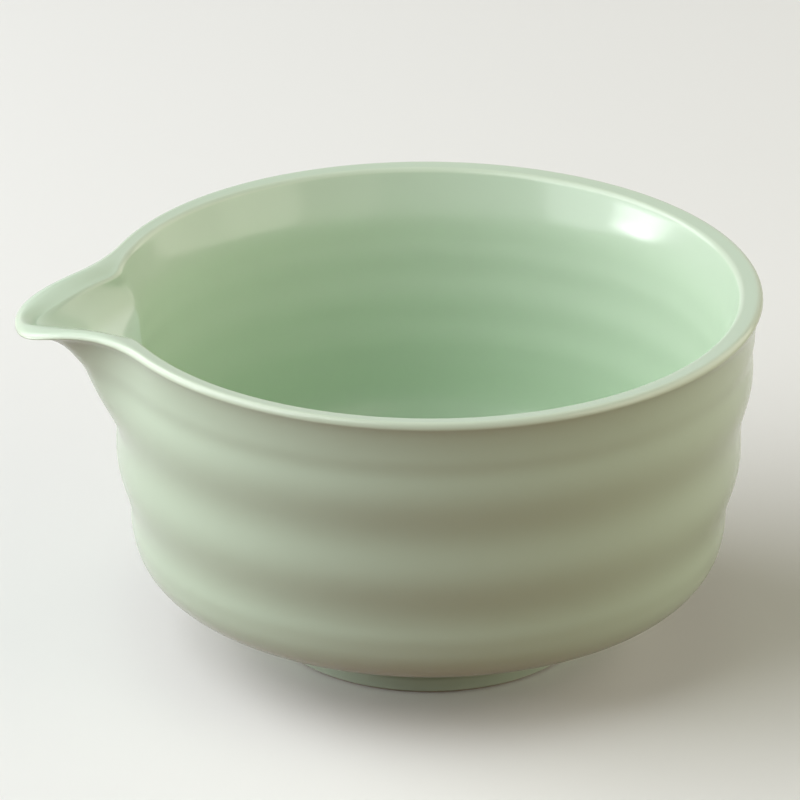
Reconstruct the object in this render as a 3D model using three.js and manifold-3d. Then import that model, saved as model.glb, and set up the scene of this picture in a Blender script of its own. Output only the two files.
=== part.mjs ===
// A tea bowl with a pouring lip, in celadon stoneware.
// A thrown bowl carries a luted lip and a luted foot ring, and three coats of glaze cover the clay.
// Millimetres, +Z up. The bowl stands on z = 0 and its lip points along -X.
import * as THREE from "three";
import { mergeVertices } from "three/addons/utils/BufferGeometryUtils.js";
import Module from "manifold-3d";

// The bowl from outside, measured over the glaze
const rimRadius = 62.5;
const bowlHeight = 70.2;
const rimWidth = 3.5;
const rimEdgeRadius = 1.2;
const rimInnerRadius = 1.5;
const rimFall = 0.2;
const rimThinning = 0.9;
const neckRadius = 61.2;
const rimFlareHeight = 8.2;
const rimFlareLean = 0.1;
const rimFlareKnee = 0.75;
const heelTopRadius = 56.1;
const heelTopHeight = 21.1;
const heelArcRadius = 10.5;
const wallBulge = 0.55;
const glazeThickness = 0.6;

// The inside
const wallThickness = 5.4;
const innerFlareDepth = 10;
const innerLean = THREE.MathUtils.degToRad(26);
const floorHeight = 11;
const innerHeelRadius = 20;
const floorTilt = THREE.MathUtils.degToRad(5);

// The broad rings that the thrower's fingers left outside, and the fine ones inside
const outerRings = { pitch: 17.2, depth: 0.45, height: 49.4, perPitch: 4 };
const innerRings = { pitch: 9.3, depth: 0.07, height: 47.4, perPitch: 2 };
const ringFadeHeight = 5;

// The foot ring and the recess inside it
const footRadius = 29.9;
const footTaper = 0.5;
const footHeight = 4.3;
const footWidth = 3.9;
const footChamfer = 0.4;
const recessHeight = 4.7;
const bareHeight = 1;
const glazePool = 1.6;

// The pouring lip: half of its outline is one curve, from the tip to where it runs into the rim
const lipReach = 77.8;
const lipEnd = THREE.MathUtils.degToRad(25.4);
const lipNoseHandle = 15.2;
const lipRimHandle = 19.9;
const lipDroop = 3.5;

// Its underside is one curve too, from a low upright face back to the wall
const lipFaceHeight = 2.1;
const lipUndercut = 0.665;
const lipUnderHandle = 0.6;
const lipWallHandle = 2.3;
const lipDrop = 25.5;

// Its channel is a V with a round nose, which runs out down the inside of the wall
const lipWidth = 3.5;
const channelNoseRadius = 4;
const channelFlankAngle = THREE.MathUtils.degToRad(39);
const channelDepth = 21;
const channelSweepPower = 1.45;

// The notch in the wall that the lip is luted into, and the slip seam round it and over the foot
const notchHalfWidth = 28;
const notchDepth = 30;
const notchCornerRadius = 20;
const seamGap = 0.3;
const cutterMargin = 5;

// How finely the surfaces are divided
const channelSteps = 6;
const flankSteps = 4;
const sideSteps = 6;
const backSteps = 7;
const arcSteps = 4;
const innerHeelSteps = 6;

const crestRadius = rimRadius - rimEdgeRadius;
const landRadius = rimRadius - rimWidth;
const neckHeight = bowlHeight - rimFlareHeight;
const lipOffset = (lipReach - rimRadius) / 2;

// Profile helpers. A profile point holds the radius in x and the height in y.
const point = (radius, height) => new THREE.Vector2(radius, height);

function arcPoints(centre, radius, fromAngle, toAngle, steps) {
  const points = [];
  for (let i = 0; i <= steps; i++) {
    const angle = THREE.MathUtils.lerp(fromAngle, toAngle, i / steps);
    points.push(point(centre.x + radius * Math.cos(angle), centre.y + radius * Math.sin(angle)));
  }
  return points;
}

// Moves each point of a profile sideways, to its left for a positive distance.
function offsetProfile(points, distance, firstNormal, lastNormal) {
  return points.map((p, i) => {
    const ahead = points[Math.min(i + 1, points.length - 1)];
    const behind = points[Math.max(i - 1, 0)];
    const along = ahead.clone().sub(behind).normalize();
    let normal = point(-along.y, along.x);
    if (i === 0 && firstNormal) normal = firstNormal;
    if (i === points.length - 1 && lastNormal) normal = lastNormal;
    return p.clone().addScaledVector(normal, distance);
  });
}

// The smooth wall from the heel up, and the throwing rings laid on it
function wallBase(height) {
  const t = (height - heelTopHeight) / (neckHeight - heelTopHeight);
  return THREE.MathUtils.lerp(heelTopRadius, neckRadius, t) + wallBulge * 4 * t * (1 - t);
}

function throwingRing(rings, height, low, high) {
  const fade =
    THREE.MathUtils.smoothstep(height, low, low + ringFadeHeight) *
    (1 - THREE.MathUtils.smoothstep(height, high - ringFadeHeight, high));
  return fade * rings.depth * Math.sin((2 * Math.PI * (height - rings.height)) / rings.pitch);
}

// Heights of the rings' crests and hollows, and of the slopes between them where they are broad
function ringRows(rings, low, high) {
  const step = rings.pitch / rings.perPitch;
  const first = rings.perPitch === 2 ? rings.height + step / 2 : rings.height;
  const rows = [];
  for (let n = Math.ceil((low - first) / step); first + n * step < high; n++) {
    const height = first + n * step;
    if (height > low + step / 3 && height < high - step / 3) rows.push(height);
  }
  return rows;
}

// Direction of the wall at a height, as the angle above the horizontal
function wallAngle(height) {
  const step = 0.01;
  return Math.atan2(2 * step, wallBase(height + step) - wallBase(height - step));
}

// Outside of the bowl over the glaze, from the foot ring's corner up to the crest of the rim
function outsideProfile() {
  const top = wallAngle(heelTopHeight);
  const centre = point(
    heelTopRadius - heelArcRadius * Math.sin(top),
    heelTopHeight + heelArcRadius * Math.cos(top),
  );
  const corner = point(footRadius + footTaper, footHeight);
  const toCentre = centre.clone().sub(corner);
  const rise = toCentre.angle() - Math.asin(heelArcRadius / toCentre.length());
  const start = point(corner.x + glazePool * Math.cos(rise), corner.y + glazePool * Math.sin(rise));
  const profile = [start];
  const heel = arcPoints(centre, heelArcRadius, rise - Math.PI / 2, top - Math.PI / 2, arcSteps);
  profile.push(start.clone().lerp(heel[0], 0.5), ...heel);
  for (const height of ringRows(outerRings, heelTopHeight, neckHeight)) {
    profile.push(point(wallBase(height) + throwingRing(outerRings, height, heelTopHeight, neckHeight), height));
  }
  const edgeHeight = bowlHeight - rimEdgeRadius;
  const knee = point(
    THREE.MathUtils.lerp(neckRadius, rimRadius, rimFlareLean),
    THREE.MathUtils.lerp(neckHeight, edgeHeight, rimFlareKnee),
  );
  const flare = new THREE.QuadraticBezierCurve(point(neckRadius, neckHeight), knee, point(rimRadius, edgeHeight));
  profile.push(...flare.getPoints(arcSteps - 1).slice(0, -1));
  profile.push(...arcPoints(point(crestRadius, edgeHeight), rimEdgeRadius, 0, Math.PI / 2, arcSteps - 1));
  return profile;
}

// Where two straight lines meet, each given by a point and a direction
function crossing(a, alongA, b, alongB) {
  const reach = b.clone().sub(a).cross(alongB) / alongA.cross(alongB);
  return a.clone().addScaledVector(alongA, reach);
}

// Inside of the bowl over the glaze, from the crest of the rim down to the middle of the floor
function insideProfile() {
  const innerWall = (height) => wallBase(height) - wallThickness;
  const edgeCentre = point(landRadius, bowlHeight - rimFall - rimInnerRadius);
  const edge = arcPoints(edgeCentre, rimInnerRadius, Math.PI / 2, Math.PI - innerLean, arcSteps - 1);
  // Under the edge the wall flares in a hollow curve, as a rim drawn outwards on the wheel does.
  const flareTop = edge.at(-1);
  const flareFoot = point(innerWall(bowlHeight - innerFlareDepth), bowlHeight - innerFlareDepth);
  const footAngle = wallAngle(flareFoot.y);
  const knee = crossing(
    flareTop,
    point(-Math.sin(innerLean), -Math.cos(innerLean)),
    flareFoot,
    point(Math.cos(footAngle), Math.sin(footAngle)),
  );
  const flare = new THREE.QuadraticBezierCurve(flareTop, knee, flareFoot).getPoints(arcSteps - 1);
  const profile = [point(crestRadius, bowlHeight), ...edge, ...flare.slice(1)];
  // The heel's arc leaves the wall at the height that brings the floor out where it should be.
  let heelTop = floorHeight + innerHeelRadius;
  let heel = [];
  let floorCurve;
  for (let round = 0; round < 4; round++) {
    const side = wallAngle(heelTop);
    const centre = point(
      innerWall(heelTop) - innerHeelRadius * Math.sin(side),
      heelTop + innerHeelRadius * Math.cos(side),
    );
    heel = arcPoints(centre, innerHeelRadius, side - Math.PI / 2, floorTilt - Math.PI / 2, innerHeelSteps);
    const rim = heel.at(-1);
    const middle = rim.y - (rim.x * Math.tan(floorTilt)) / 2;
    floorCurve = new THREE.QuadraticBezierCurve(rim, point(rim.x / 2, middle), point(0, middle));
    heelTop += floorHeight - middle;
  }
  const low = heel[0].y;
  for (const height of ringRows(innerRings, low, flareFoot.y).reverse()) {
    profile.push(point(innerWall(height) + throwingRing(innerRings, height, low, flareFoot.y), height));
  }
  profile.push(...heel, ...floorCurve.getPoints(2).slice(1));
  return profile;
}

// The point of a curve at which a measure, which grows along it, reaches a value
function pointWhere(curve, measure, value) {
  let low = 0;
  let high = 1;
  for (let i = 0; i < 40; i++) {
    const middle = (low + high) / 2;
    if (measure(curve.getPoint(middle)) < value) low = middle;
    else high = middle;
  }
  return curve.getPoint(low);
}

// The lip's outline in plan, x out of the bowl and y to the side
const lipRoot = point(rimRadius * Math.cos(lipEnd), rimRadius * Math.sin(lipEnd));
const lipOutline = new THREE.CubicBezierCurve(
  point(lipReach, 0),
  point(lipReach, lipNoseHandle),
  point(lipRoot.x + lipRimHandle * Math.sin(lipEnd), lipRoot.y - lipRimHandle * Math.cos(lipEnd)),
  lipRoot,
);

// The share of the lip's overhang, in y, that is left at a depth below the rim, in x
const underside = new THREE.CubicBezierCurve(
  point(lipFaceHeight, 1),
  point(lipFaceHeight + lipUnderHandle, 1 - lipUndercut),
  point(lipDrop - lipWallHandle, 0),
  point(lipDrop, 0),
);

// How far the lip stands out from the rim at an angle from its middle
function lipStandOut(angle) {
  if (Math.abs(angle) >= lipEnd) return 0;
  return pointWhere(lipOutline, (p) => p.angle(), Math.abs(angle)).length() - rimRadius;
}

function underLip(depth) {
  if (depth <= lipFaceHeight) return 1;
  if (depth >= lipDrop) return 0;
  return pointWhere(underside, (p) => p.x, depth).y;
}

// The rim's inner edge lies further out near the lip, where the rim was drawn thin.
const thinning = (angle) => (rimThinning * (1 + Math.cos(angle))) / 2;
const atRim = (depth) => 1 - THREE.MathUtils.smoothstep(depth, 0, innerFlareDepth);

// How far the channel of the lip is cut back from that edge: a nose arc and the straight flanks that touch it
function channelStandOut(angle) {
  const around = Math.abs(angle);
  if (around >= lipEnd) return 0;
  const along = Math.cos(channelFlankAngle);
  const across = Math.sin(channelFlankAngle);
  const noseCentre = lipReach - lipWidth - channelNoseRadius;
  const touch = Math.atan2(channelNoseRadius * along, noseCentre + channelNoseRadius * across);
  const aside = noseCentre * Math.sin(around);
  const outline =
    around < touch
      ? noseCentre * Math.cos(around) + Math.sqrt(channelNoseRadius * channelNoseRadius - aside * aside)
      : (noseCentre * across + channelNoseRadius) / Math.sin(around + channelFlankAngle);
  return Math.max(0, outline - landRadius - thinning(angle));
}

function inChannel(depth) {
  if (depth >= channelDepth) return 0;
  return Math.pow(1 - Math.max(0, depth) / channelDepth, channelSweepPower);
}

// The corner where the channel leaves the inside of the bowl
function creaseAngle() {
  let low = 0;
  let high = lipEnd;
  for (let i = 0; i < 40; i++) {
    const middle = (low + high) / 2;
    if (channelStandOut(middle) > 0) low = middle;
    else high = middle;
  }
  return low;
}

// Angles of the columns of faces round the bowl, close together at the lip
function columnAngles() {
  const crease = creaseAngle();
  const half = [0];
  for (let i = 1; i <= channelSteps; i++) half.push((crease * i) / channelSteps);
  for (let i = 1; i <= flankSteps; i++) half.push(THREE.MathUtils.lerp(crease, lipEnd, i / flankSteps));
  for (let i = 1; i <= sideSteps; i++) half.push(THREE.MathUtils.lerp(lipEnd, Math.PI / 2, i / sideSteps));
  for (let i = 1; i <= backSteps; i++) half.push(THREE.MathUtils.lerp(Math.PI / 2, Math.PI, i / backSteps));
  const mirrored = half.slice(0, -1).reverse();
  return [...half, ...mirrored.map((angle) => 2 * Math.PI - angle)];
}

const columns = columnAngles();

// Turns a profile round the bowl's axis and pulls the lip out of it. A point on the outside follows the
// lip's outline, one on the inside follows the channel, and the rim between them shares both. What stands
// out also droops, more and more towards the tip.
function turned(profile, outsideShares) {
  const geometry = new THREE.LatheGeometry(profile, columns.length - 1);
  const position = geometry.getAttribute("position");
  for (let i = 0; i < position.count; i++) {
    const row = i % profile.length;
    const angle = columns[(i - row) / profile.length];
    const signed = angle > Math.PI ? angle - 2 * Math.PI : angle;
    const { x: radius, y: height } = profile[row];
    const depth = bowlHeight - height;
    const share = outsideShares ? outsideShares[row] : 1;
    const pull =
      share * lipStandOut(signed) * underLip(depth) + (1 - share) * channelStandOut(signed) * inChannel(depth);
    const droop = lipDroop * Math.pow(pull / (lipReach - rimRadius), 2);
    const reach = radius + pull + (1 - share) * thinning(signed) * atRim(depth);
    position.setXYZ(i, -reach * Math.cos(angle), -reach * Math.sin(angle), height - droop);
  }
  splitAlongShorter(geometry, profile.length);
  geometry.deleteAttribute("normal");
  geometry.deleteAttribute("uv");
  return closedFaces(mergeVertices(geometry, 1e-4));
}

// Splits each four-sided patch along its shorter diagonal, so that clay and glaze are split alike.
function splitAlongShorter(geometry, rows) {
  const corner = (i) => new THREE.Vector3().fromBufferAttribute(geometry.getAttribute("position"), i);
  const faces = [];
  for (let column = 0; column < columns.length - 1; column++) {
    for (let row = 0; row < rows - 1; row++) {
      const a = row + column * rows;
      const b = a + rows;
      const c = b + 1;
      const d = a + 1;
      const shorter = corner(b).distanceTo(corner(d)) <= corner(a).distanceTo(corner(c));
      faces.push(...(shorter ? [a, b, d, c, d, b] : [a, b, c, a, c, d]));
    }
  }
  geometry.setIndex(faces);
}

// Faces that shrank to a line on the axis are left out.
function closedFaces(geometry) {
  const index = geometry.index.array;
  const kept = [];
  for (let i = 0; i < index.length; i += 3) {
    const [a, b, c] = [index[i], index[i + 1], index[i + 2]];
    if (a !== b && b !== c && c !== a) kept.push(a, b, c);
  }
  geometry.setIndex(kept);
  return geometry;
}

// Joining and cutting
const wasm = await Module();
wasm.setup();

function solidOf(geometry) {
  const merged = geometry.index ? geometry : mergeVertices(geometry, 1e-4);
  return new wasm.Manifold(
    new wasm.Mesh({
      numProp: 3,
      vertProperties: new Float32Array(merged.getAttribute("position").array),
      triVerts: new Uint32Array(merged.index.array),
    }),
  );
}

function geometryOf(solid) {
  const mesh = solid.getMesh();
  const geometry = new THREE.BufferGeometry();
  geometry.setAttribute("position", new THREE.BufferAttribute(new Float32Array(mesh.vertProperties), 3));
  geometry.setIndex(new THREE.BufferAttribute(new Uint32Array(mesh.triVerts), 1));
  return geometry;
}

// The notch is a U through the wall under the lip. Growing it by the seam leaves the gap for the slip.
function notchCutter(growth) {
  const half = notchHalfWidth + growth;
  const bottom = bowlHeight - notchDepth - growth;
  const top = bowlHeight + cutterMargin;
  const corner = notchCornerRadius + growth;
  const outline = new THREE.Shape();
  outline.moveTo(-half, top);
  outline.lineTo(-half, bottom + corner);
  outline.absarc(-half + corner, bottom + corner, corner, Math.PI, 1.5 * Math.PI, false);
  outline.absarc(half - corner, bottom + corner, corner, 1.5 * Math.PI, 2 * Math.PI, false);
  outline.lineTo(half, top);
  const inner = notchHalfWidth + cutterMargin;
  const length = lipReach + cutterMargin - inner;
  const geometry = new THREE.ExtrudeGeometry(outline, { depth: length, bevelEnabled: false, curveSegments: 6 });
  geometry.deleteAttribute("normal");
  geometry.deleteAttribute("uv");
  geometry.rotateX(Math.PI / 2);
  geometry.rotateZ(-Math.PI / 2);
  geometry.translate(-inner, 0, 0);
  return mergeVertices(geometry, 1e-4);
}

// The surfaces that the pieces share, so that the glaze lies on the clay point for point
const down = point(0, -1);
const outsideGlaze = outsideProfile();
const insideGlaze = insideProfile();
const outsideClay = offsetProfile(outsideGlaze, glazeThickness, null, down);
const insideClay = offsetProfile(insideGlaze, glazeThickness, down, down);

const rimShare = (p) => THREE.MathUtils.clamp((p.x - landRadius) / rimWidth, 0, 1);
const outsideShare = (p) => (bowlHeight - p.y < rimEdgeRadius ? rimShare(p) : 1);
const insideShare = (p) => (bowlHeight - p.y < rimFall + glazeThickness ? rimShare(p) : 0);

const seatHeight = recessHeight + glazeThickness;
const footTop = seatHeight - seamGap;
const clayFootRadius = footRadius - glazeThickness;
const clayFootTopRadius = clayFootRadius + footTaper;
const recessRadius = footRadius - footWidth;
const clayRecessRadius = recessRadius + glazeThickness;
const footOuterAt = (height) => clayFootRadius + (footTaper * height) / footHeight;

// Pieces of clay
function clayShell() {
  const profile = [
    point(0, seatHeight),
    point(clayRecessRadius, seatHeight),
    point(footOuterAt(seatHeight), seatHeight),
    ...outsideClay,
    ...insideClay.slice(1),
  ];
  const shares = profile.map((p, i) => (i < 3 + outsideClay.length ? outsideShare(p) : insideShare(p)));
  return solidOf(turned(profile, shares));
}

function footRingGeometry() {
  const profile = [
    point(clayRecessRadius + footChamfer, 0),
    point(clayFootRadius - footChamfer, 0),
    point(footOuterAt(bareHeight), bareHeight),
    point(footOuterAt(footTop), footTop),
    point(clayRecessRadius, footTop),
    point(clayRecessRadius, bareHeight),
    point(clayRecessRadius + footChamfer, 0),
  ];
  return turned(profile);
}

// Coats of glaze
function outerGlazeGeometry() {
  const corner = point(footRadius + footTaper, footHeight);
  const low = point(corner.x - (footTaper * glazePool) / footHeight, footHeight - glazePool);
  const pool = new THREE.QuadraticBezierCurve(low, corner, outsideGlaze[0]);
  const profile = [
    point(footOuterAt(bareHeight), bareHeight),
    point(footOuterAt(bareHeight) + glazeThickness, bareHeight + glazeThickness / 2),
    ...pool.getPoints(3),
    ...outsideGlaze.slice(1),
    ...outsideClay.toReversed(),
    point(footOuterAt(seatHeight), seatHeight),
    point(footOuterAt(footTop), footTop),
    point(footOuterAt(bareHeight), bareHeight),
  ];
  return turned(profile, profile.map(outsideShare));
}

function innerGlazeGeometry() {
  const profile = [...insideClay.toReversed(), ...insideGlaze];
  return turned(profile, profile.map(insideShare));
}

function baseGlazeGeometry() {
  const pool = new THREE.QuadraticBezierCurve(
    point(recessRadius - glazePool, recessHeight),
    point(recessRadius, recessHeight),
    point(recessRadius, recessHeight - glazePool),
  );
  const profile = [
    point(0, recessHeight),
    ...pool.getPoints(2),
    point(recessRadius, bareHeight + glazeThickness / 2),
    point(clayRecessRadius, bareHeight),
    point(clayRecessRadius, footTop),
    point(clayRecessRadius, seatHeight),
    point(0, seatHeight),
  ];
  return turned(profile);
}

// Finishes
const celadon = new THREE.MeshStandardMaterial({ color: 0xbfd4b8, roughness: 0.15, metalness: 0 });
const stoneware = new THREE.MeshStandardMaterial({ color: 0xd8cdbb, roughness: 0.85, metalness: 0 });

// The assembly, placed so that its box is centred over the origin
const bowl = new THREE.Group();
bowl.name = "tea_bowl";
bowl.position.x = lipOffset;

function addPiece(name, geometry, material) {
  const mesh = new THREE.Mesh(geometry, material);
  mesh.name = name;
  bowl.add(mesh);
}

const clay = clayShell();
const notch = solidOf(notchCutter(seamGap));
const tongue = solidOf(notchCutter(0));
addPiece("thrown_body", geometryOf(clay.subtract(notch)), stoneware);
addPiece("pouring_lip", geometryOf(clay.intersect(tongue)), stoneware);
addPiece("foot_ring", footRingGeometry(), stoneware);
addPiece("outer_glaze", outerGlazeGeometry(), celadon);
addPiece("inner_glaze", innerGlazeGeometry(), celadon);
addPiece("base_glaze", baseGlazeGeometry(), celadon);

export default bowl;
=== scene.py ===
import math
from functools import partial

import bmesh
import bpy
import numpy as np
from mathutils import Color, Matrix, Quaternion, Vector


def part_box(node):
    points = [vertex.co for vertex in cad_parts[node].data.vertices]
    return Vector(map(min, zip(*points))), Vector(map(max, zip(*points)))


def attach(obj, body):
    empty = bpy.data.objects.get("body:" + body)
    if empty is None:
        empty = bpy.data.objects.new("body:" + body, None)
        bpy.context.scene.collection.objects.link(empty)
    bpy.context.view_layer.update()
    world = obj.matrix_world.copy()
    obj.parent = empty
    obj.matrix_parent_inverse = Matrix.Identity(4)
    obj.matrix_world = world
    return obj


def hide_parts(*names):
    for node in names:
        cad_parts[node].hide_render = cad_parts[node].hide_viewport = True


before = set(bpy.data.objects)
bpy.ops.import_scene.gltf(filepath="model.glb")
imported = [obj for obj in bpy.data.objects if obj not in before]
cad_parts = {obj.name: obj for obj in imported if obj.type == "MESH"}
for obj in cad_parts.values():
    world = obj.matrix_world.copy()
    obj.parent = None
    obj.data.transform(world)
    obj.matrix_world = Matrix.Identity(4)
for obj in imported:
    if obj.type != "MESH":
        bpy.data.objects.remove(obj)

bl_info = {
    "name": "Spouted Tea Bowl",
    "version": (1, 0, 0),
    "blender": (4, 5, 0),
    "location": "3D View > Sidebar > Tea Bowl",
    "description": "Glazes, foots and lights a thrown tea bowl with a pouring lip",
    "category": "Object",
}

MM = 0.001
FULL_TURN = 2 * math.pi
BODY = "root"
FINISH_OUTPUTS = {"Color": ["Color"], "Float": ["Roughness", "Height"]}

# How the glaze gathers: the reach of a bend, the shortest step, and passes that even it out
GLAZE_SPREAD = 1.5 * MM
SHORTEST_STEP = 0.05 * MM
SPREADING_PASSES = 6
# The most that the glaze's depth is lowered in the channel, on the same scale, to pale it with
# painted light
MOST_CHANNEL_LIGHT = 0.42

# How near two points are the same one, where a mesh is joined up and where two coats are compared
MERGE_DISTANCE = 0.0001 * MM
SAME_POINT = 0.001 * MM

# Steps of the lip's smooth curves, and passes that settle the height of the heel inside
LIP_STEPS = 400
HEEL_PASSES = 6
# Angles of the columns of faces round the foot
FOOT_COLUMNS = np.linspace(0.0, FULL_TURN, 192, endpoint=False)

# The camera: the point that it was solved for, and the pixels where that point is seen
FRAME_PIXELS = 800
SENSOR = 36.0
SOLVED_FOR = Vector((7.6, 0.0, 34.35)) * MM
SEEN_AT = (428.31, 459.72)

# The lamps: name, azimuth and elevation in degrees, distance, shape, sizes and tilt in degrees. A
# lamp's power is the studio's value of its name
LAMPS = (
    ("window", 270, 50, 1.40, "RECTANGLE", (2.0, 1.2), 0),
    ("low_window", 265, 25, 1.05, "RECTANGLE", (1.8, 0.8), 0),
    ("right", 88, 24, 1.15, "RECTANGLE", (2.0, 1.0), 0),
    ("front", 46, 22, 1.15, "RECTANGLE", (1.4, 0.9), 0),
    ("spark", 260.5, 6.0, 0.9, "ELLIPSE", (0.62, 0.045), 17),
)
FLOOR_HALF = 6.0
DARK_AIR = (0.012, 0.010, 0.008, 1.0)

# What the frame says of the bowl: its rim, its height, its lip and where its axis stands
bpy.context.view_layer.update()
COAT_LOW, COAT_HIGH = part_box("outer_glaze")
RIM_RADIUS = COAT_HIGH.y
AXIS_X = COAT_HIGH.x - RIM_RADIUS
LIP_REACH = AXIS_X - COAT_LOW.x
BOWL_HEIGHT = COAT_HIGH.z


# Properties that a user would change
def number(label, default, text, **limits):
    return bpy.props.FloatProperty(name=label, description=text, default=default, **limits)


def length(label, millimetres, text):
    """A length, written in millimetres and held in metres."""
    return number(label, millimetres * MM, text, unit="LENGTH", precision=5)


def share(label, default, text):
    return number(label, default, text, min=0.0, max=1.0, subtype="FACTOR")


def angle(label, degrees, text):
    return number(label, math.radians(degrees), text, unit="ROTATION")


def colour(label, rgb, text):
    return bpy.props.FloatVectorProperty(
        name=label, description=text, default=rgb, size=3, min=0.0, max=1.0, subtype="COLOR"
    )


def power(label, watts, text):
    return number(label, watts, text, min=0.0, unit="POWER")


def count(label, default, text):
    return bpy.props.IntProperty(name=label, description=text, default=default, min=1)


class BowlShape(bpy.types.PropertyGroup):
    """The turned form of the bowl, over its glaze."""

    rim_radius: length("Rim radius", RIM_RADIUS / MM, "Radius over the outside of the rim")
    height: length("Height", BOWL_HEIGHT / MM, "Height of the rim's crest")
    rim_width: length("Rim width", 3.3, "From the outside of the rim to its inner edge")
    rim_edge: length("Outer edge", 1.2, "Radius of the rim's outer edge")
    rim_inner_edge: length("Inner edge", 1.3, "Radius of the rim's inner edge")
    rim_fall: length("Rim fall", 0.2, "How far the flat of the rim falls inwards")
    rim_thinning: length("Rim thinning", 0.9, "How much thinner the rim is beside the lip")
    neck_radius: length("Neck radius", 61.2, "Radius where the rim starts to flare")
    flare_height: length("Flare height", 8.2, "Height of the flared rim")
    flare_lean: share("Flare lean", 0.1, "Where the hollow of the flare lies, from neck to rim")
    flare_knee: share("Flare knee", 0.75, "How high the hollow of the flare lies")
    heel_radius: length("Heel radius", 56.1, "Radius at the top of the heel")
    heel_height: length("Heel height", 21.1, "Height of the top of the heel")
    heel_arc: length("Heel arc", 10.5, "Radius that the heel is rounded with")
    bulge: length("Bulge", 0.55, "How far the middle of the wall swells out")
    wall: length("Wall", 5.8, "Thickness of the wall")
    inner_flare: length("Inner flare", 12.0, "Depth of the flared band inside the rim")
    inner_lean: angle("Inner lean", 19.0, "Lean of the wall right under the inner edge")
    floor: length("Floor", 11.0, "Height of the floor inside")
    inner_heel: length("Inner heel", 20.0, "Radius that the wall runs into the floor with")
    floor_tilt: angle("Floor tilt", 5.0, "Fall of the floor towards its middle")
    glaze: length("Glaze", 0.6, "Thickness of the glaze")


class LipShape(bpy.types.PropertyGroup):
    """The pouring lip and the channel in it."""

    reach: length("Reach", LIP_REACH / MM, "From the bowl's axis to the tip")
    end: angle("End", 25.4, "Angle from the tip to where the lip runs into the rim")
    nose_handle: length("Nose handle", 15.2, "How broad the tip is")
    rim_handle: length("Rim handle", 19.9, "How softly the lip leaves the rim")
    droop: length("Droop", 3.5, "How far the tip dips")
    face: length("Face", 1.3, "Height of the lip's upright face")
    undercut: share("Undercut", 0.665, "How sharply the underside turns in")
    under_handle: length("Under handle", 1.8, "Depth over which it turns in")
    wall_handle: length("Wall handle", 2.3, "How softly the underside meets the wall")
    drop: length("Drop", 25.5, "Depth at which the underside meets the wall")
    land: length("Land", 3.5, "Width of the flat round the channel")
    fall: length("Fall", 1.2, "How far that flat falls towards the channel")
    notch_width: length("Notch width", 56.0, "Width of the notch that the lip is luted into")
    notch_depth: length("Notch depth", 30.0, "Depth of that notch")
    notch_corner: length("Notch corner", 20.0, "Radius of the notch's lower corners")
    nose: length("Channel nose", 4.0, "Radius of the channel's nose")
    flank: angle("Channel flank", 39.0, "Half of the angle between the channel's flanks")
    channel_depth: length("Channel depth", 21.0, "Depth at which the channel meets the wall")
    sweep: number("Sweep", 1.45, "How the channel runs out")
    widening: share("Widening", 0.13, "How much wider the channel is a third of the way down")
    crease: length("Crease", 1.0, "How softly the channel's corner is rounded")


class ThrowingRings(bpy.types.PropertyGroup):
    """The rings that the thrower's fingers left in the wall."""

    outer_pitch: length("Outer pitch", 17.2, "From one broad ring outside to the next")
    outer_depth: length("Outer depth", 0.45, "Half of the outer rings' height")
    outer_height: length("Outer height", 49.4, "Height of a slope between two outer rings")
    inner_pitch: length("Inner pitch", 9.3, "From one fine ring inside to the next")
    inner_depth: length("Inner depth", 0.11, "Half of the inner rings' height")
    inner_height: length("Inner height", 47.4, "Height of a slope between two inner rings")
    fade: length("Fade", 5.0, "Height over which the rings fade in and out")
    wander: length("Wander", 0.5, "How far a ring wanders up and down on its way round")


class FootShape(bpy.types.PropertyGroup):
    """The foot ring and the recess inside it."""

    radius: length("Radius", 30.4, "Radius over the glaze at the bottom of the foot")
    taper: length("Taper", 0.5, "How much wider the foot is at its top")
    height: length("Height", 4.3, "Height of the corner where the foot meets the bowl")
    width: length("Width", 3.9, "Width of the foot ring")
    chamfer: length("Chamfer", 0.3, "Wiped edge round the bare face")
    recess: length("Recess", 4.7, "Depth of the recess inside the foot")
    bare: length("Bare", 0.3, "Height up to which the clay is bare")
    pool: length("Pool", 1.6, "How far the glaze fills the corners")
    seam: length("Seam", 0.3, "Gap that the slip fills over the foot ring")


class Fineness(bpy.types.PropertyGroup):
    """How finely the surfaces are divided."""

    channel: count("Channel", 40, "Columns over half of the channel")
    flank: count("Flank", 20, "Columns from the channel to the end of the lip")
    side: count("Side", 68, "Columns from the lip to the back, over half of the bowl")
    row: length("Row", 0.9, "Height of the rows on the walls")


class Finish(bpy.types.PropertyGroup):
    """Colours of the glaze and the clay, and painted light and shade on the glaze inside."""

    celadon: colour("Celadon", (0.50, 0.605, 0.468), "The glaze at its usual thickness")
    thin: colour("Thin glaze", (0.57, 0.65, 0.51), "The glaze where it thins over an edge")
    # Painted light: this paler colour stands for light on the glaze down the channel, where the
    # glaze is set thinner inside below the rim
    channel: colour("Glaze in the channel", (0.63, 0.75, 0.65), "The coat where it ran off")
    pooled: colour("Pooled glaze", (0.27, 0.40, 0.25), "The glaze where it gathers in a corner")
    # Painted light and shade: the upper wall inside is made lighter and the floor darker than the
    # celadon, to stand in for how light falls in the bowl
    inside: colour("Glaze inside", (0.54, 0.66, 0.505), "The coat high on the wall inside")
    floor: colour("Glaze on the floor", (0.47, 0.625, 0.44), "The coat where it ran together")
    gloss: share("Roughness", 0.16, "Roughness of the glaze")
    clay: colour("Clay", (0.56, 0.46, 0.35), "The bare stoneware")
    blush: colour("Blush", (0.38, 0.19, 0.10), "The clay where it turned red beside the glaze")
    iron: colour("Iron", (0.10, 0.06, 0.04), "The dark specks in the clay")


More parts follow.
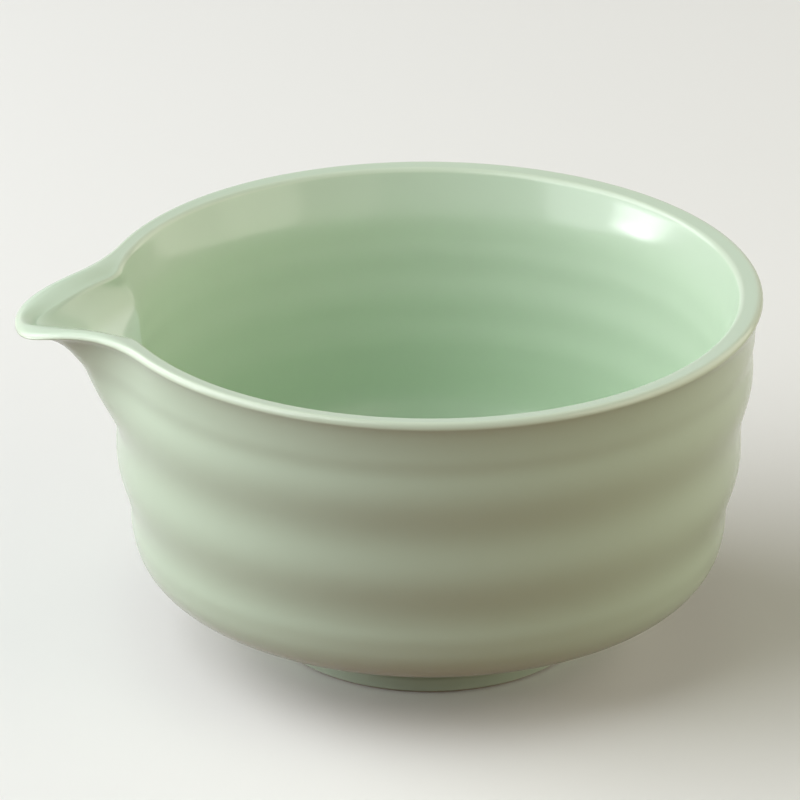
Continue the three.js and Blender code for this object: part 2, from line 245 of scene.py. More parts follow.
class Studio(bpy.types.PropertyGroup):
    """The floor, the lamps and the camera."""

    floor: colour("Floor", (0.80, 0.79, 0.77), "The floor as the camera sees it")
    bounce: colour("Bounce", (0.18, 0.08, 0.02), "The floor as it lights the bowl")
    daylight: colour("Daylight", (0.95, 0.98, 1.0), "Colour of the lamps on the left")
    warm_light: colour("Warm light", (1.0, 0.96, 0.81), "Colour of the lamps on the right")
    window: power("Window", 18.5, "Power of the tall soft lamp on the left")
    low_window: power("Low window", 11.2, "Power of the broad soft lamp below it")
    right: power("Right wall", 10.6, "Power of the broad soft lamp on the right")
    front: power("Front right", 2.8, "Power of the soft lamp in front")
    spark: power("Spark", 1.45, "Power of the small lamp that shines inside the rim")
    azimuth: angle("Azimuth", -6.658, "Where the camera stands round the bowl")
    elevation: angle("Elevation", 24.844, "How steeply the camera looks down")
    roll: angle("Roll", 0.341, "How far the camera is turned on its own axis")
    distance: length("Distance", 1244.5, "From the camera to the point it was solved for")
    lens: number("Lens", 295.2, "Focal length in millimetres", min=1.0)


def chosen(*names):
    """The scene's property groups of these names."""
    return [getattr(bpy.context.scene, name) for name in names]


# Curves in plan and section. A profile is a list of radius and height, one row for each point.
def bezier(controls, steps):
    """Points of a Bezier curve of any degree."""
    t = np.linspace(0.0, 1.0, steps + 1)[:, None]
    points = np.array(controls, float)
    degree = len(points) - 1
    return sum(
        math.comb(degree, i) * t**i * (1 - t) ** (degree - i) * point
        for i, point in enumerate(points)
    )


def arc(centre, radius, start, end, steps):
    turn = np.linspace(start, end, steps + 1)
    return np.array(centre) + radius * np.column_stack([np.cos(turn), np.sin(turn)])


def ahead(heading):
    """One step in a heading, as a radius and a height or as x and y."""
    return np.array([math.cos(heading), math.sin(heading)])


def smooth_step(value, low, high):
    t = np.clip((value - low) / (high - low), 0.0, 1.0)
    return t * t * (3 - 2 * t)


def offset(profile, distance):
    """The profile moved to its left by a distance."""
    along = np.gradient(profile, axis=0)
    along /= np.linalg.norm(along, axis=1)[:, None]
    normal = np.column_stack([-along[:, 1], along[:, 0]])
    return profile + distance * normal


def wall_radius(shape, height):
    neck = shape.height - shape.flare_height
    t = (height - shape.heel_height) / (neck - shape.heel_height)
    straight = shape.heel_radius + (shape.neck_radius - shape.heel_radius) * t
    return straight + shape.bulge * 4 * t * (1 - t)


def wall_angle(shape, height):
    """Direction of the wall at a height, as the angle above the horizontal."""
    step = 0.01 * MM
    spread = wall_radius(shape, height + step) - wall_radius(shape, height - step)
    return math.atan2(2 * step, spread)


def rows_between(low, high, spacing):
    return np.linspace(low, high, max(2, round(abs(high - low) / spacing) + 1))


def outside_profile(shape, foot, row):
    """Outside of the glaze, from the foot's corner up to the crest of the rim."""
    top = wall_angle(shape, shape.heel_height)
    centre = (shape.heel_radius, shape.heel_height) + shape.heel_arc * ahead(top + math.pi / 2)
    corner = np.array([foot.radius + foot.taper, foot.height])
    to_centre = centre - corner
    beside = math.asin(shape.heel_arc / np.linalg.norm(to_centre))
    rise = math.atan2(to_centre[1], to_centre[0]) - beside
    start = corner + foot.pool * ahead(rise)
    heel = arc(centre, shape.heel_arc, rise - math.pi / 2, top - math.pi / 2, steps=16)
    neck = shape.height - shape.flare_height
    heights = rows_between(shape.heel_height, neck, row)[1:]
    wall = np.column_stack([wall_radius(shape, heights), heights])
    bend = shape.rim_edge
    edge = shape.height - bend
    knee = (
        shape.neck_radius + shape.flare_lean * (shape.rim_radius - shape.neck_radius),
        neck + shape.flare_knee * (edge - neck),
    )
    flare = bezier([wall[-1], knee, (shape.rim_radius, edge)], steps=14)
    crest = arc((shape.rim_radius - bend, edge), bend, 0.0, math.pi / 2, steps=10)
    run_up = start + (heel[0] - start) * np.linspace(0.0, 1.0, 18)[:-1, None]
    return np.concatenate([run_up, heel, wall, flare[1:-1], crest])


def inside_profile(shape, row):
    """Inside of the glaze, from the crest of the rim down to the middle of the floor."""
    def inner(height):
        return wall_radius(shape, height) - shape.wall

    land = shape.rim_radius - shape.rim_width
    crest = shape.rim_radius - shape.rim_edge
    flat = np.linspace((crest, shape.height), (land, shape.height - shape.rim_fall), 5)
    edge_centre = (land, shape.height - shape.rim_fall - shape.rim_inner_edge)
    edge = arc(edge_centre, shape.rim_inner_edge, math.pi / 2, math.pi - shape.inner_lean, steps=10)
    foot = np.array([inner(shape.height - shape.inner_flare), shape.height - shape.inner_flare])
    down, up = ahead(-math.pi / 2 - shape.inner_lean), ahead(wall_angle(shape, foot[1]))
    handles = (edge[-1] + down * shape.inner_flare / 2, foot + up * shape.inner_flare / 3)
    flare = bezier([edge[-1], *handles, foot], steps=20)
    heel_top = shape.floor + shape.inner_heel
    # The heel leaves the wall at the height that brings the floor out where it should be
    for _ in range(HEEL_PASSES):
        side = wall_angle(shape, heel_top)
        centre = (inner(heel_top), heel_top) + shape.inner_heel * ahead(side + math.pi / 2)
        start, end = side - math.pi / 2, shape.floor_tilt - math.pi / 2
        heel = arc(centre, shape.inner_heel, start, end, steps=30)
        middle = heel[-1, 1] - heel[-1, 0] * math.tan(shape.floor_tilt) / 2
        heel_top += shape.floor - middle
    heights = rows_between(foot[1], heel[0, 1], row)[1:-1]
    wall = np.column_stack([inner(heights), heights])
    floor = bezier([heel[-1], (heel[-1, 0] / 2, middle), (0.0, middle)], steps=22)
    return np.concatenate([flat, edge[1:], flare[1:], wall, heel, floor[1:]])


# The lip
def lip_stand_out(shape, lip, around):
    """How far the lip's outline stands out from the rim at an angle from its middle."""
    root = shape.rim_radius * ahead(lip.end)
    handle = root + lip.rim_handle * ahead(lip.end - math.pi / 2)
    outline = bezier([(lip.reach, 0.0), (lip.reach, lip.nose_handle), handle, root], LIP_STEPS)
    polar = np.arctan2(outline[:, 1], outline[:, 0])
    beyond = np.linalg.norm(outline, axis=1) - shape.rim_radius
    return np.interp(np.abs(around), polar, beyond, right=0.0)


def under_lip(lip, depth):
    """The share of the overhang that is left at a depth below the rim."""
    turn_in = (lip.face + lip.under_handle, 1 - lip.undercut)
    run_out = (lip.drop - lip.wall_handle, 0.0)
    underside = bezier([(lip.face, 1.0), turn_in, run_out, (lip.drop, 0.0)], LIP_STEPS)
    return np.interp(depth, underside[:, 0], underside[:, 1], left=1.0, right=0.0)


def thinning(shape, around):
    return shape.rim_thinning * (1 + np.cos(around)) / 2


def inner_edge(shape, around):
    return shape.rim_radius - shape.rim_width + thinning(shape, around)


def channel_outline(lip, around):
    """The channel's edge in plan, from the axis: a nose arc and straight flanks that touch it."""
    centre = lip.reach - lip.land - lip.nose
    along, across = math.cos(lip.flank), math.sin(lip.flank)
    touch = math.atan2(lip.nose * along, centre + lip.nose * across)
    inward = np.minimum(np.abs(around), math.pi / 2)
    left_over = lip.nose**2 - (centre * np.sin(inward)) ** 2
    nose = centre * np.cos(inward) + np.sqrt(np.maximum(0.0, left_over))
    flank = (centre * across + lip.nose) / np.sin(inward + lip.flank)
    return np.where(inward < touch, nose, flank)


def channel_stand_out(shape, lip, around):
    """How far the channel is cut back from the rim's inner edge, with its corner rounded."""
    beyond = channel_outline(lip, around) - inner_edge(shape, around)
    beyond = np.where(np.abs(around) > lip.end, -lip.crease, beyond)
    blend = np.maximum(0.0, lip.crease - np.abs(beyond))
    return np.maximum(0.0, beyond) + blend**2 / (4 * lip.crease)


def in_channel(lip, depth):
    return np.clip(1 - np.maximum(0.0, depth) / lip.channel_depth, 0.0, 1.0) ** lip.sweep


def crease_angle(shape, lip):
    """The angle of the corner where the channel leaves the inside of the bowl."""
    around = np.linspace(0.0, lip.end, 2000)
    return around[np.argmax(channel_outline(lip, around) < inner_edge(shape, around))]


def column_angles(shape, lip, fine):
    """Angles of the columns of faces round the bowl, close together at the lip."""
    crease = crease_angle(shape, lip)
    half = np.concatenate([
        np.linspace(0.0, crease, fine.channel + 1)[:-1],
        np.linspace(crease, lip.end, fine.flank + 1)[:-1],
        np.linspace(lip.end, math.pi, fine.side + 1),
    ])
    return np.concatenate([half, -half[-2:0:-1]])


def swung_columns(shape, lip, outer, around, depth):
    """Angles of the columns at each depth: inside they swing apart where the channel is widest."""
    t = np.clip(depth / lip.channel_depth, 0.0, 1.0)
    most = 4 / 27
    swell = (1 - outer) * lip.widening * t * (1 - t) ** 2 / most
    beside = smooth_step(np.abs(around), crease_angle(shape, lip), lip.end)
    return around * (1 + swell * (1 - beside))


def land_fall(shape, lip, outer, around, depth):
    """How far the rim's flat falls inwards where the lip stands out, from level at the crest."""
    steepening, set_in = 1.3, 0.35 * (lip.reach - shape.rim_radius)
    crest = 1 - shape.rim_edge / shape.rim_width
    inward = np.clip(1 - outer / crest, 0.0, 1.0) ** steepening
    spread = smooth_step(lip_stand_out(shape, lip, around), 0.0, set_in)
    return lip.fall * inward * spread * (1 - smooth_step(depth, 0.0, shape.inner_flare))


def turned_points(profile, outer_share, around):
    """Layers of points from a profile turned round the axis, with the lip pulled out of them."""
    shape, lip = chosen("bowl", "lip")
    radius, height = profile[:, :1], profile[:, 1:]
    depth = shape.height - height
    outer = outer_share[:, None]
    pull = outer * lip_stand_out(shape, lip, around) * under_lip(lip, depth)
    pull = pull + (1 - outer) * channel_stand_out(shape, lip, around) * in_channel(lip, depth)
    droop = lip.droop * (pull / (lip.reach - shape.rim_radius)) ** 2
    droop = droop + land_fall(shape, lip, outer, around, depth)
    drawn = (1 - outer) * thinning(shape, around) * (1 - smooth_step(depth, 0.0, shape.inner_flare))
    reach = radius + pull + drawn
    swung = swung_columns(shape, lip, outer, around, depth)
    x = AXIS_X - reach * np.cos(swung)
    y = -reach * np.sin(swung)
    return np.stack([x, y, np.broadcast_to(height, x.shape) - droop], axis=-1)


def rim_share(shape, profile):
    land = shape.rim_radius - shape.rim_width
    return np.clip((profile[:, 0] - land) / shape.rim_width, 0.0, 1.0)


def outside_share(shape, profile):
    return np.where(shape.height - profile[:, 1] < shape.rim_edge, rim_share(shape, profile), 1.0)


def inside_share(shape, profile):
    on_rim = shape.height - profile[:, 1] < shape.rim_fall + shape.glaze
    return np.where(on_rim, rim_share(shape, profile), 0.0)


# Meshes
def ring_mesh(name, layers, closed=True):
    """A mesh from rings of points. A closed one also joins its last ring to its first."""
    rows, columns = layers.shape[:2]
    lower = np.arange(rows if closed else rows - 1)
    row, column = np.meshgrid(lower, np.arange(columns), indexing="ij")
    beside, above = (column + 1) % columns, (row + 1) % rows
    corners = ((row, column), (row, beside), (above, beside), (above, column))
    faces = np.stack([level * columns + place for level, place in corners], axis=-1)
    mesh = bpy.data.meshes.new(name)
    mesh.from_pydata(layers.reshape(-1, 3).tolist(), [], faces.reshape(-1, 4).tolist())
    return mesh


def join_up(mesh, *others, capped=False):
    """Adds meshes to a mesh, merges the points that fall together and turns the faces outwards."""
    work = bmesh.new()
    for part in (mesh, *others):
        work.from_mesh(part)
    bmesh.ops.remove_doubles(work, verts=work.verts, dist=MERGE_DISTANCE)
    bmesh.ops.delete(work, geom=[edge for edge in work.edges if edge.is_wire], context="EDGES")
    if capped:
        bmesh.ops.holes_fill(work, edges=work.edges)
    bmesh.ops.recalc_face_normals(work, faces=work.faces)
    work.to_mesh(mesh)
    work.free()
    mesh.update()


def add_object(name, data, place=(0.0, 0.0, 0.0), turn=None):
    thing = bpy.data.objects.new(name, data)
    thing.location = place
    if turn is not None:
        thing.rotation_mode = "QUATERNION"
        thing.rotation_quaternion = turn
    bpy.context.scene.collection.objects.link(thing)
    return thing


def add_piece(name, mesh):
    """A new object with a mesh, whose faces are turned outwards if they all look in."""
    work = bmesh.new()
    work.from_mesh(mesh)
    if work.calc_volume(signed=True) < 0:
        mesh.flip_normals()
    work.free()
    mesh.shade_smooth()
    return add_object(name, mesh)


def evaluated_mesh(piece):
    """A plain mesh of a piece with its modifiers applied."""
    seen = piece.evaluated_get(bpy.context.evaluated_depsgraph_get())
    return bpy.data.meshes.new_from_object(seen)


def glaze_depth(layers):
    """How the glaze lies on a grid: below one half where an edge thins it, above it in a hollow."""
    left, right = np.roll(layers, 1, 1), np.roll(layers, -1, 1)
    along, across = np.gradient(layers, axis=0), (right - left) / 2
    normal = np.cross(across, along)
    normal /= np.maximum(np.linalg.norm(normal, axis=2, keepdims=True), 1e-12)
    bend = 0.0
    for slope, turn in ((along, np.gradient(along, axis=0)), (across, right + left - 2 * layers)):
        bend = bend + (turn * normal).sum(2) / np.maximum((slope * slope).sum(2), SHORTEST_STEP**2)
    lies = 0.5 + np.arctan(bend * GLAZE_SPREAD) / math.pi
    for _ in range(SPREADING_PASSES):
        kept_ends = np.pad(lies, ((1, 1), (0, 0)), mode="edge")
        beside = np.roll(lies, 1, 1) + np.roll(lies, -1, 1) + kept_ends[2:] + kept_ends[:-2]
        lies = lies / 2 + beside / 8
    return lies


def store_depth(mesh, lies):
    """Writes the glaze's depth for the first rows of a mesh that was made from a grid."""
    values = np.full(len(mesh.vertices), 0.5, np.float32)
    values[: lies.size] = lies.ravel()
    mesh.attributes.new("glaze_depth", "FLOAT", "POINT").data.foreach_set("value", values)


def add_coat(name, layers, lies, on_axis=True):
    """A coat's object, with the glaze's depth on its first rows, closed where it meets the axis."""
    mesh = ring_mesh(name, layers)
    store_depth(mesh, lies)
    if on_axis:
        join_up(mesh)
    return add_piece(name, mesh)


# Node trees
def feed(tree, node, inputs):
    """Gives a node's inputs their values, a colour with an alpha, or links them to other nodes."""
    for key, value in dict(inputs).items():
        if isinstance(value, bpy.types.NodeSocket):
            tree.links.new(value, node.inputs[key])
        else:
            node.inputs[key].default_value = (*value, 1.0) if isinstance(value, Color) else value


def add_node(tree, kind, inputs=(), **settings):
    node = tree.nodes.new(kind)
    for label, value in settings.items():
        setattr(node, label, value)
    feed(tree, node, inputs)
    return node


def add_maths(tree, operation, *values, clamp=False):
    node = add_node(tree, "ShaderNodeMath", enumerate(values), operation=operation, use_clamp=clamp)
    return node.outputs[0]


def add_swing(tree, value, gain):
    """A value that lies about one half, made to swing about nought."""
    return add_maths(tree, "MULTIPLY", add_maths(tree, "SUBTRACT", value, 0.5), gain)


def add_mix(tree, factor, first, second):
    inputs = {"Factor": factor, "A": first, "B": second}
    return add_node(tree, "ShaderNodeMix", inputs, data_type="RGBA").outputs["Result"]


def add_noise(tree, place, scale, detail, roughness):
    inputs = {"Vector": place, "Scale": scale, "Detail": detail, "Roughness": roughness}
    return add_node(tree, "ShaderNodeTexNoise", inputs).outputs[0]


def add_ramp(tree, value, low, high, to_low=0.0, to_high=1.0):
    inputs = {"Value": value, "From Min": low, "From Max": high}
    inputs |= {"To Min": to_low, "To Max": to_high}
    node = add_node(tree, "ShaderNodeMapRange", inputs, interpolation_type="SMOOTHSTEP")
    return node.outputs["Result"]


def split_place(tree, place):
    return add_node(tree, "ShaderNodeSeparateXYZ", {"Vector": place}).outputs


def new_group(name, kind, inputs, outputs):
    """A new node group with its sockets, what it is given and the node that takes what it makes."""
    tree = bpy.data.node_groups.new(name, kind)
    for side, sockets in (("INPUT", inputs), ("OUTPUT", outputs)):
        for sort, labels in sockets.items():
            for label in labels:
                tree.interface.new_socket(label, in_out=side, socket_type="NodeSocket" + sort)
    return tree, tree.nodes.new("NodeGroupInput").outputs, tree.nodes.new("NodeGroupOutput")


def throwing_rings_tree():
    """Pushes points out by a sine of height that fades at both ends and wanders round the bowl."""
    tree, given, made = new_group("Throwing Rings", "GeometryNodeTree", {
        "Geometry": ["Geometry"],
        "Float": ["Axis", "Pitch", "Depth", "Height", "Low", "High", "Fade", "Wander"],
        "Int": ["Seed"],
        "Material": ["Glaze"],
    }, {"Geometry": ["Geometry"]})
    maths = partial(add_maths, tree)
    parts = split_place(tree, add_node(tree, "GeometryNodeInputPosition").outputs[0])
    flat = {"X": maths("SUBTRACT", parts["X"], given["Axis"]), "Y": parts["Y"]}
    across = add_node(tree, "ShaderNodeCombineXYZ", flat).outputs[0]
    outward = add_node(tree, "ShaderNodeVectorMath", {0: across}, operation="NORMALIZE").outputs[0]
    slow = {"Vector": outward, "W": given["Seed"], "Scale": 0.9, "Detail": 0.0}
    noise = add_node(tree, "ShaderNodeTexNoise", slow, noise_dimensions="4D").outputs[0]
    swing = add_swing(tree, noise, maths("MULTIPLY", given["Wander"], 2.0))
    above = maths("ADD", maths("SUBTRACT", parts["Z"], given["Height"]), swing)
    turn = maths("MULTIPLY", maths("DIVIDE", above, given["Pitch"]), FULL_TURN)
    rising = add_ramp(tree, parts["Z"], given["Low"], maths("ADD", given["Low"], given["Fade"]))
    top = maths("SUBTRACT", given["High"], given["Fade"])
    falling = add_ramp(tree, parts["Z"], top, given["High"])
    fade = maths("MULTIPLY", rising, maths("SUBTRACT", 1.0, falling))
    push = maths("MULTIPLY", maths("MULTIPLY", maths("SINE", turn), given["Depth"]), fade)
    step = add_node(tree, "ShaderNodeVectorMath", {0: outward, "Scale": push}, operation="SCALE")
    passed = given["Geometry"]
    for kind, inputs in (
        ("GeometryNodeSetPosition", {"Offset": step.outputs[0]}),
        ("GeometryNodeRealizeInstances", {}),
        ("GeometryNodeSetMaterial", {"Material": given["Glaze"]}),
    ):
        passed = add_node(tree, kind, {"Geometry": passed} | inputs).outputs[0]
    feed(tree, made, {"Geometry": passed})
    return tree


def throw_rings(piece, values):
    """Runs the ring tree on a piece with the given inputs, and keeps the result as a plain mesh."""
    tree = bpy.data.node_groups.get("Throwing Rings") or throwing_rings_tree()
    modifier = piece.modifiers.new("throwing rings", "NODES")
    modifier.node_group = tree
    sockets = {s.name: s.identifier for s in tree.interface.items_tree if s.in_out == "INPUT"}
    for label, value in values.items():
        modifier[sockets[label]] = value
    mesh = evaluated_mesh(piece)
    piece.modifiers.remove(modifier)
    old, piece.data = piece.data, mesh
    bpy.data.meshes.remove(old)


def melted_glaze_group():
    """Celadon over clay: paler where thin, greener where thick, clouded and faintly rippled."""
    tree, given, made = new_group("Melted Glaze", "ShaderNodeTree", {
        "Vector": ["Place"],
        "Color": ["Glaze", "Thin", "Pooled"],
        "Float": ["Depth", "Cloud", "Roughness", "Ripple"],
    }, FINISH_OUTPUTS)
    maths, noise = partial(add_maths, tree), partial(add_noise, tree, given["Place"])
    clouds = noise(scale=28.0, detail=3.0, roughness=0.5)
    mottle = noise(scale=240.0, detail=2.0, roughness=0.6)
    swell = noise(scale=70.0, detail=1.0, roughness=0.4)
    peel = noise(scale=420.0, detail=1.0, roughness=0.5)
    uneven = maths("ADD", add_swing(tree, clouds, given["Cloud"]), add_swing(tree, mottle, 0.06))
    lies = maths("ADD", given["Depth"], uneven)
    thin = add_ramp(tree, lies, 0.45, 0.08)
    pooled = add_ramp(tree, lies, 0.53, 0.80)
    base = add_mix(tree, thin, given["Glaze"], given["Thin"])
    ripple = maths("ADD", swell, maths("MULTIPLY", peel, 0.12))
    feed(tree, made, {
        "Color": add_mix(tree, pooled, base, given["Pooled"]),
        "Roughness": maths("ADD", given["Roughness"], add_swing(tree, clouds, 0.06)),
        "Height": maths("MULTIPLY", ripple, given["Ripple"]),
    })
    return tree


def fired_clay_group():
    """Bare stoneware: a fine sandy grain, dark iron specks and a blush beside the glaze."""
    tree, given, made = new_group("Fired Clay", "ShaderNodeTree", {
        "Vector": ["Place"],
        "Color": ["Clay", "Blush", "Iron"],
        "Float": ["Blushed", "Grain"],
    }, FINISH_OUTPUTS)
    maths, noise = partial(add_maths, tree), partial(add_noise, tree, given["Place"])
    sand = noise(scale=900.0, detail=3.0, roughness=0.65)
    patches = noise(scale=90.0, detail=3.0, roughness=0.6)
    sown = {"Vector": given["Place"], "Scale": 520.0}
    cells = add_node(tree, "ShaderNodeTexVoronoi", sown).outputs
    speck = add_ramp(tree, cells["Distance"], 0.22, 0.08)
    picked = add_ramp(tree, cells["Color"], 0.55, 0.62)
    redness = maths("MULTIPLY", given["Blushed"], add_ramp(tree, patches, 0.25, 0.65), clamp=True)
    shade = add_node(tree, "ShaderNodeHueSaturation", {
        "Value": add_ramp(tree, sand, 0.25, 0.75, 0.82, 1.14),
        "Color": add_mix(tree, redness, given["Clay"], given["Blush"]),
    })
    dark = maths("MULTIPLY", speck, picked)
    feed(tree, made, {
        "Color": add_mix(tree, dark, shade.outputs["Color"], given["Iron"]),
        "Roughness": add_ramp(tree, sand, 0.2, 0.8, 0.72, 0.95),
        "Height": maths("MULTIPLY", sand, given["Grain"]),
    })
    return tree


# Materials
def new_material(name):
    material = bpy.data.materials.new(name)
    material.use_nodes = True
    return material, material.node_tree, material.node_tree.nodes["Principled BSDF"]


def place_group(tree, name, build):
    """A shared group's node in a material, and the place on the piece that it is given."""
    place = add_node(tree, "ShaderNodeTexCoord").outputs["Object"]
    group = bpy.data.node_groups.get(name) or build()
    return add_node(tree, "ShaderNodeGroup", {"Place": place}, node_tree=group), place


def join_shader(tree, shader, made, bump, ior, specular):
    """Feeds a shader with what a shared group makes. The bump is a distance and a strength."""
    bumped = {"Distance": bump[0], "Strength": bump[1], "Height": made["Height"]}
    feed(tree, shader, {
        "Base Color": made["Color"],
        "Roughness": made["Roughness"],
        "Normal": add_node(tree, "ShaderNodeBump", bumped).outputs["Normal"],
        "IOR": ior,
        "Specular IOR Level": specular,
    })


def celadon_material(name, cloud=0.10, ripple=1.0, inside=False):
    """One coat of celadon, with its own unevenness. Inside, below the rim, painted light makes the
    upper wall and the channel paler and painted shade makes the floor darker.
    """
    finish, shape = chosen("finish", "bowl")
    material, tree, shader = new_material(name)
    group, place = place_group(tree, "Melted Glaze", melted_glaze_group)
    glaze, thin = finish.celadon, finish.thin
    if inside:
        # Painted light and shade: lighter on the wall below the rim's band, darker towards the
        # floor, and paler where the glaze is thin in the channel
        height = split_place(tree, place)["Z"]
        band = shape.height - shape.inner_flare
        below = add_ramp(tree, height, shape.height - 2 * MM, band)
        lowest = add_ramp(tree, height, band, shape.floor + shape.inner_heel / 3)
        glaze = add_mix(tree, lowest, add_mix(tree, below, glaze, finish.inside), finish.floor)
        thin = add_mix(tree, below, thin, finish.channel)
    feed(tree, group, {
        "Depth": add_node(tree, "ShaderNodeAttribute", attribute_name="glaze_depth").outputs["Fac"],
        "Glaze": glaze,
        "Thin": thin,
        "Pooled": finish.pooled,
        "Cloud": cloud,
        "Roughness": finish.gloss,
        "Ripple": ripple,
    })
    join_shader(tree, shader, group.outputs, bump=(0.15 * MM, 0.35), ior=1.5, specular=0.5)
    return material


def clay_material(name, blush_low, blush_high):
    """Bare clay, blushed between two heights above the floor and all over above them."""
    finish = bpy.context.scene.finish
    material, tree, shader = new_material(name)
    group, place = place_group(tree, "Fired Clay", fired_clay_group)
    feed(tree, group, {
        "Blushed": add_ramp(tree, split_place(tree, place)["Z"], blush_low, blush_high),
        "Clay": finish.clay,
        "Blush": finish.blush,
        "Iron": finish.iron,
        "Grain": 1.0,
    })
    join_shader(tree, shader, group.outputs, bump=(0.2 * MM, 0.5), ior=1.45, specular=0.3)
    return material


def settle(piece, node, material=None):
    """Fixes a finished piece to the bowl, in place of the solid that it stands for."""
    if material:
        piece.data.materials.clear()
        piece.data.materials.append(material)
    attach(piece, BODY)
    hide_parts(node)


# Rows of the coats
def all_columns():
    return column_angles(*chosen("bowl", "lip", "fineness"))


def foot_clay_radius(height):
    """Radius of the clay foot, under its glaze."""
    shape, foot = chosen("bowl", "foot")
    return foot.radius - shape.glaze + foot.taper * height / foot.height


def outer_rows():
    """The outer coat from the bead over the bare foot to the crest, and its part above the foot."""
    shape, foot, fine = chosen("bowl", "foot", "fineness")
    over = outside_profile(shape, foot, fine.row)
    corner = np.array([foot.radius + foot.taper, foot.height])
    low = corner - np.array([foot.taper / foot.height, 1.0]) * foot.pool
    bead_centre = (foot_clay_radius(foot.bare), foot.bare + shape.glaze)
    bead = arc(bead_centre, shape.glaze, -math.pi / 2, 0.0, steps=6)
    pool = bezier([low, corner, over[0]], steps=10)
    return np.concatenate([bead, np.linspace(bead[-1], low, 4)[1:-1], pool[:-1], over]), over


def coat_depths():
    """The glaze's depth over the whole bowl in one grid, cut at the crest into the two coats."""
    shape, fine = chosen("bowl", "fineness")
    outer, inner = outer_rows()[0], inside_profile(shape, fine.row)
    share = np.concatenate([outside_share(shape, outer), inside_share(shape, inner)[1:]])
    lies = glaze_depth(turned_points(np.concatenate([outer, inner[1:]]), share, all_columns()))
    return lies[: len(outer)], lies[len(outer) - 1 :]


def painted_channel_light(over):
    """How much lower the glaze's depth is set on the rows of the inside where the channel is cut
    into it, so that the channel takes the paler colour of painted light.
    """
    shape, lip = chosen("bowl", "lip")
    depth = (shape.height - over[:, 1:]) / lip.channel_depth
    cut_in = smooth_step(channel_stand_out(shape, lip, all_columns()), 0.3 * MM, 1.3 * MM)
    return MOST_CHANNEL_LIGHT * cut_in * smooth_step(depth, 0.2, 0.5) * (1 - smooth_step(depth, 0.7, 1.0))


def coat_back(over, crest):
    """The back of a coat, which is the clay's surface: every third row, plumb under the crest."""
    glaze = bpy.context.scene.bowl.glaze
    under = offset(over[::3], glaze)
    under[crest] = over[crest] - (0.0, glaze)
    return under


def outer_under(over):
    return coat_back(over, -1)


def inner_under(over):
    """The back of the inner coat, down to the axis."""
    under = coat_back(over, 0)
    return np.concatenate([under, [(0.0, over[-1, 1] - bpy.context.scene.bowl.glaze)]])


def ring_values(side):
    """What the ring tree is given for the outer or the inner side of the wall."""
    shape, rings = chosen("bowl", "rings")
    low, flare, seed = {
        "outer": (shape.heel_height, shape.flare_height, 4),
        "inner": (shape.floor + shape.inner_heel, shape.inner_flare, 7),
    }[side]
    labels = ("Pitch", "Depth", "Height")
    own = {label: getattr(rings, f"{side}_{label.lower()}") for label in labels}
    shared = {"Axis": AXIS_X, "Fade": rings.fade, "Wander": rings.wander}
    return own | shared | {"Low": low, "High": shape.height - flare, "Seed": seed}


# Operators, one for each step
class TEABOWL_OT_outer_glaze(bpy.types.Operator):
    """Lay the coat of glaze over the outside, the lip and the foot"""

    bl_idname = "teabowl.outer_glaze"
    bl_label = "Outer Glaze"

    def execute(self, context):
        shape, foot = chosen("bowl", "foot")
        rows, over = outer_rows()
        seat = foot.recess + shape.glaze
        seam = [(foot_clay_radius(height), height) for height in (seat, seat - foot.seam)]
        profile = np.concatenate([rows, outer_under(over)[::-1], seam])
        layers = turned_points(profile, outside_share(shape, profile), all_columns())
        piece = add_coat("outer_glaze_coat", layers, coat_depths()[0], on_axis=False)
        throw_rings(piece, ring_values("outer") | {"Glaze": celadon_material("outer celadon")})
        settle(piece, "outer_glaze")
        return {"FINISHED"}


class TEABOWL_OT_inner_glaze(bpy.types.Operator):
    """Pour the coat of glaze inside, with the channel of the lip"""

    bl_idname = "teabowl.inner_glaze"
    bl_label = "Inner Glaze"

    def execute(self, context):
        shape, fine = chosen("bowl", "fineness")
        over = inside_profile(shape, fine.row)
        profile = np.concatenate([over, inner_under(over)[::-1]])
        layers = turned_points(profile, inside_share(shape, profile), all_columns())
        # The channel's lowered glaze depth takes the paler colour of painted light
        piece = add_coat("inner_glaze_coat", layers, coat_depths()[1] - painted_channel_light(over))
        material = celadon_material("inner celadon", inside=True)
        throw_rings(piece, ring_values("inner") | {"Glaze": material})
        settle(piece, "inner_glaze")
        return {"FINISHED"}


class TEABOWL_OT_base_glaze(bpy.types.Operator):
    """Glaze the recess inside the foot ring"""

    bl_idname = "teabowl.base_glaze"
    bl_label = "Base Glaze"

    def execute(self, context):
        shape, foot = chosen("bowl", "foot")
        side, top = foot.radius - foot.width, foot.recess
        clay, seat = side + shape.glaze, top + shape.glaze
        corner = bezier([(side - foot.pool, top), (side, top), (side, top - foot.pool)], steps=10)
        bead = arc((clay, foot.bare + shape.glaze), shape.glaze, math.pi, 1.5 * math.pi, steps=6)
        profile = np.concatenate([
            np.linspace((0.0, top), corner[0], 16)[:-1],
            corner,
            bead,
            [(clay, seat - foot.seam), (clay, seat), (0.0, seat)],
        ])
        layers = turned_points(profile, np.ones(len(profile)), FOOT_COLUMNS)
        piece = add_coat("base_glaze_coat", layers, glaze_depth(layers[:-3]))
        material = celadon_material("base celadon", cloud=0.16, ripple=1.4)
        settle(piece, "base_glaze", material)
        return {"FINISHED"}


